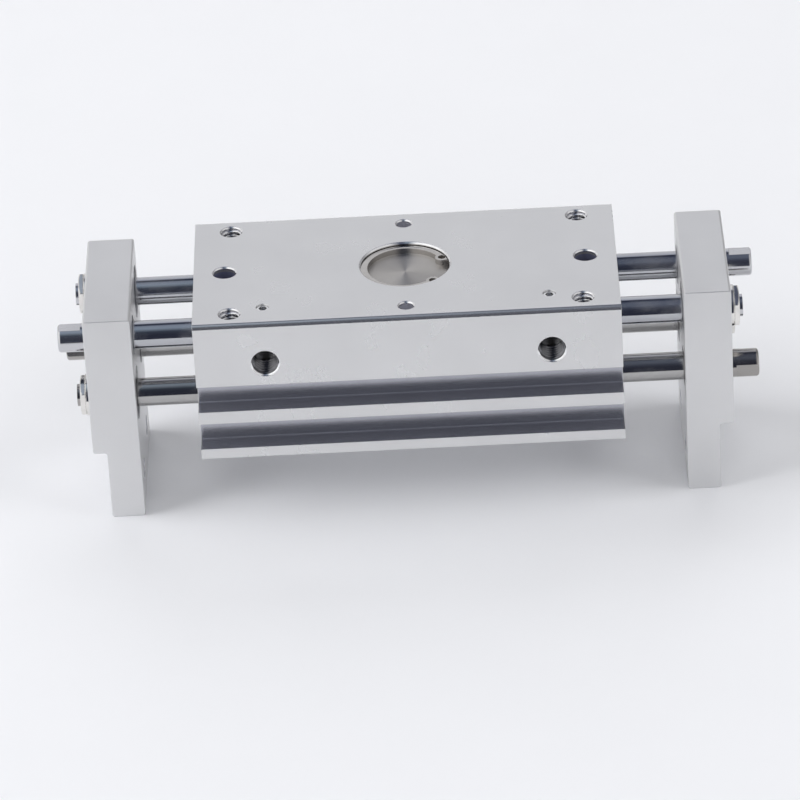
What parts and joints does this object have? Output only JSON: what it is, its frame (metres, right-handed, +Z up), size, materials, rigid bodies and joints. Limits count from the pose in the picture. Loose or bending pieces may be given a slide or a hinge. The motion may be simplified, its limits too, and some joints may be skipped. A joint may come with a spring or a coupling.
{
  "type": "parallel gripper",
  "caption": "Wide-opening pneumatic parallel gripper: an aluminium block with finger plates on through rods, kept in step by racks and a pinion.",
  "frame": {"origin": "on the ground midway between the tips of the closed fingers, under the middle of the block", "axes": "+X along the rods towards the right finger, +Y away from the air ports, +Z up out of the mounting face"},
  "size_m": [0.1236, 0.038, 0.0404],
  "materials": {
    "body_aluminium": "clear anodised, fine satin",
    "finger_aluminium": "clear anodised, fine bead-blasted satin",
    "ground_steel": "hard chromed and ground",
    "gear_steel": "machined and hardened",
    "turned_steel": "face turned, with fine rings",
    "spring_steel": "stamped spring steel, plated",
    "screw_steel": "plated screw",
    "nut_steel": "bright nickel plated",
    "cover_aluminium": "turned",
    "bush_bronze": "sintered bronze",
    "seal_rubber": "matte nitrile",
    "magnet": "bonded ring magnet"
  },
  "bodies": {
    "body": {"housing": "body_aluminium", "pinion_pin": "gear_steel", "pinion_cover": "turned_steel", "pinion_cover_ring": "spring_steel", "passage_plugs": "screw_steel", "left_back_guide_bush": "bush_bronze", "left_back_rod_cover": "cover_aluminium", "left_back_rod_seal": "seal_rubber", "left_back_rod_cover_bush": "bush_bronze", "left_back_rod_cover_o_ring": "seal_rubber", "left_back_rod_cover_ring": "spring_steel", "left_front_guide_bush": "bush_bronze", "left_front_rod_cover": "cover_aluminium", "left_front_rod_seal": "seal_rubber", "left_front_rod_cover_bush": "bush_bronze", "left_front_rod_cover_o_ring": "seal_rubber", "left_front_rod_cover_ring": "spring_steel", "right_back_guide_bush": "bush_bronze", "right_back_rod_cover": "cover_aluminium", "right_back_rod_seal": "seal_rubber", "right_back_rod_cover_bush": "bush_bronze", "right_back_rod_cover_o_ring": "seal_rubber", "right_back_rod_cover_ring": "spring_steel", "right_front_guide_bush": "bush_bronze", "right_front_rod_cover": "cover_aluminium", "right_front_rod_seal": "seal_rubber", "right_front_rod_cover_bush": "bush_bronze", "right_front_rod_cover_o_ring": "seal_rubber", "right_front_rod_cover_ring": "spring_steel"},
    "pinion": {"pinion": "gear_steel"},
    "left_finger": {"left_finger": "finger_aluminium", "left_rack_rod": "ground_steel", "left_piston_rod": "ground_steel", "left_piston": "cover_aluminium", "left_piston_seal": "seal_rubber", "left_piston_magnet": "magnet", "left_rod_collars": "nut_steel", "left_rod_washers": "nut_steel", "left_rod_nuts": "nut_steel"},
    "right_finger": {"right_finger": "finger_aluminium", "right_rack_rod": "ground_steel", "right_piston_rod": "ground_steel", "right_piston": "cover_aluminium", "right_piston_seal": "seal_rubber", "right_piston_magnet": "magnet", "right_rod_collars": "nut_steel", "right_rod_washers": "nut_steel", "right_rod_nuts": "nut_steel"}
  },
  "joints": [
    {"name": "left_finger_slide", "type": "slide", "parent": "body", "child": "left_finger", "axis": [-1, 0, 0], "range_m": [0, 0.03]},
    {"name": "right_finger_slide", "type": "slide", "parent": "body", "child": "right_finger", "axis": [1, 0, 0], "range_m": [0, 0.03]},
    {"name": "pinion_spin", "type": "hinge", "parent": "body", "child": "pinion", "pos_m": [0, 0, 0.0331], "axis": [0, 0, 1], "range_deg": [0, 265]}
  ],
  "couplings": [
    {"joint": "right_finger_slide", "follows": "left_finger_slide", "ratio": 1},
    {"joint": "pinion_spin", "follows": "left_finger_slide", "rad_per_m": 153.85}
  ]
}
